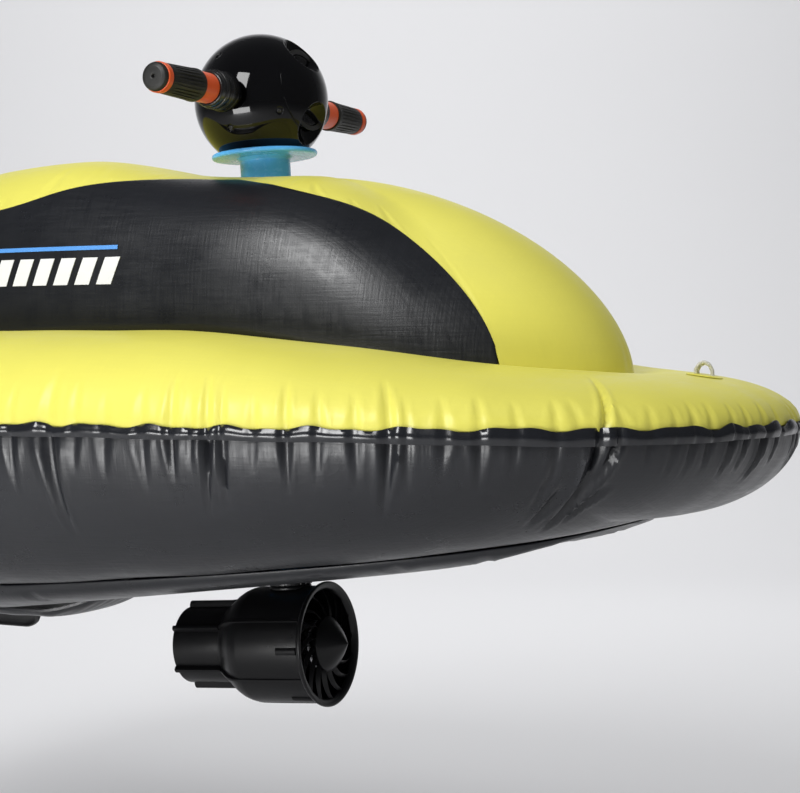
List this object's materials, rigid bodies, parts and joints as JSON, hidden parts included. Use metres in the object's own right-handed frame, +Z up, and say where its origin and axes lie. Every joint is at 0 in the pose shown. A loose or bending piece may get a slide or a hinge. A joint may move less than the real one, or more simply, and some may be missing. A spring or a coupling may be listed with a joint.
{
  "type": "inflatable electric water scooter",
  "caption": "Inflatable ride-on water scooter: air hull with a centre pod, raked column with a ball head and handlebar above deck, and a steerable electric thruster below.",
  "frame": {"origin": "where the steering axis crosses the plane of the hull's welded seam, close to the waterline", "axes": "+X to the bow, +Y to port, +Z up"},
  "size_m": [1.461, 0.856, 0.8539],
  "materials": {
    "yellow_sheet": "coated fabric, soft gloss, fine weave",
    "black_sheet": "coated fabric, glossy, fine weave",
    "gloss_black": "polished moulding",
    "thruster_black": "moulded, semi-gloss",
    "matte_black": "fine moulded texture",
    "grip_rubber": "matte rubber",
    "orange_plastic": "satin moulding",
    "blue_plastic": "satin moulding",
    "steel": "turned",
    "clear_cord": "translucent strand",
    "board_green": "circuit board"
  },
  "bodies": {
    "hull": {"tube_top_sheet": "yellow_sheet", "hull_bottom_sheet": "black_sheet", "keel_sheet": "black_sheet", "seam_flange": "black_sheet", "pod_top_panel": "yellow_sheet", "pod_side_panel_port": "black_sheet", "pod_side_panel_starboard": "black_sheet", "pod_web_fore": "black_sheet", "pod_web_aft": "black_sheet", "stern_pad": "black_sheet", "skeg_fin": "grip_rubber", "tow_patch": "yellow_sheet", "tow_loop": "clear_cord", "valve_body_port": "matte_black", "valve_body_starboard": "matte_black", "column_sleeve": "blue_plastic", "sleeve_nut": "matte_black", "upper_bush": "grip_rubber", "lower_bush": "grip_rubber"},
    "steering": {"steering_shaft": "steel", "head_base": "matte_black", "head_shell_port": "gloss_black", "head_shell_starboard": "gloss_black", "head_screw_1": "steel", "head_screw_2": "steel", "head_screw_3": "steel", "battery_pack": "matte_black", "control_board": "board_green", "button_cup": "matte_black", "button_dome": "grip_rubber", "bar_tube_port": "orange_plastic", "bar_tube_starboard": "orange_plastic", "bar_collar_port": "gloss_black", "bar_collar_starboard": "gloss_black", "wide_ring_port": "orange_plastic", "wide_ring_starboard": "orange_plastic", "grip_port": "grip_rubber", "grip_starboard": "grip_rubber", "end_ring_port": "orange_plastic", "end_ring_starboard": "orange_plastic", "end_cap_port": "matte_black", "end_cap_starboard": "matte_black", "thruster_case": "thruster_black", "thruster_nozzle": "thruster_black", "intake_guard": "thruster_black", "motor_can": "steel", "motor_stator": "thruster_black", "shaft_seal": "grip_rubber", "strut_collar": "grip_rubber", "motor_cable": "grip_rubber"},
    "propeller": {"propeller": "thruster_black", "motor_shaft": "steel"},
    "cap_seat": {"cap_gasket": "grip_rubber"},
    "battery_cap": {"battery_cap": "gloss_black"},
    "power_button": {"power_button": "orange_plastic"},
    "valve_cap_port": {"valve_cap_port": "matte_black"},
    "valve_cap_starboard": {"valve_cap_starboard": "matte_black"}
  },
  "joints": [
    {"name": "steering_turn", "type": "hinge", "parent": "hull", "child": "steering", "pos_m": [0, 0, 0], "axis": [-0.068, 0, 0.9977], "range_deg": [-45, 45]},
    {"name": "propeller_spin", "type": "hinge", "parent": "steering", "child": "propeller", "pos_m": [-0.08315, 0, -0.29474], "axis": [0.9977, 0, 0.068], "continuous": true},
    {"name": "cap_pull", "type": "slide", "parent": "steering", "child": "cap_seat", "axis": [0.9851, 0, 0.1719], "range_m": [0, 0.05]},
    {"name": "cap_twist", "type": "hinge", "parent": "cap_seat", "child": "battery_cap", "pos_m": [-0.02748, 0, 0.40316], "axis": [0.9851, 0, 0.1719], "range_deg": [0, 60]},
    {"name": "button_press", "type": "slide", "parent": "steering", "child": "power_button", "axis": [0.808, 0, -0.5892], "range_m": [0, 0.0025], "stiffness_N_per_m": 400, "springref_m": -0.0005},
    {"name": "valve_cap_port_open", "type": "hinge", "parent": "hull", "child": "valve_cap_port", "pos_m": [-0.6445, 0.085, 0.1206], "axis": [0, 1, 0], "range_deg": [0, 150]},
    {"name": "valve_cap_starboard_open", "type": "hinge", "parent": "hull", "child": "valve_cap_starboard", "pos_m": [-0.6445, -0.085, 0.1206], "axis": [0, 1, 0], "range_deg": [0, 150]}
  ]
}
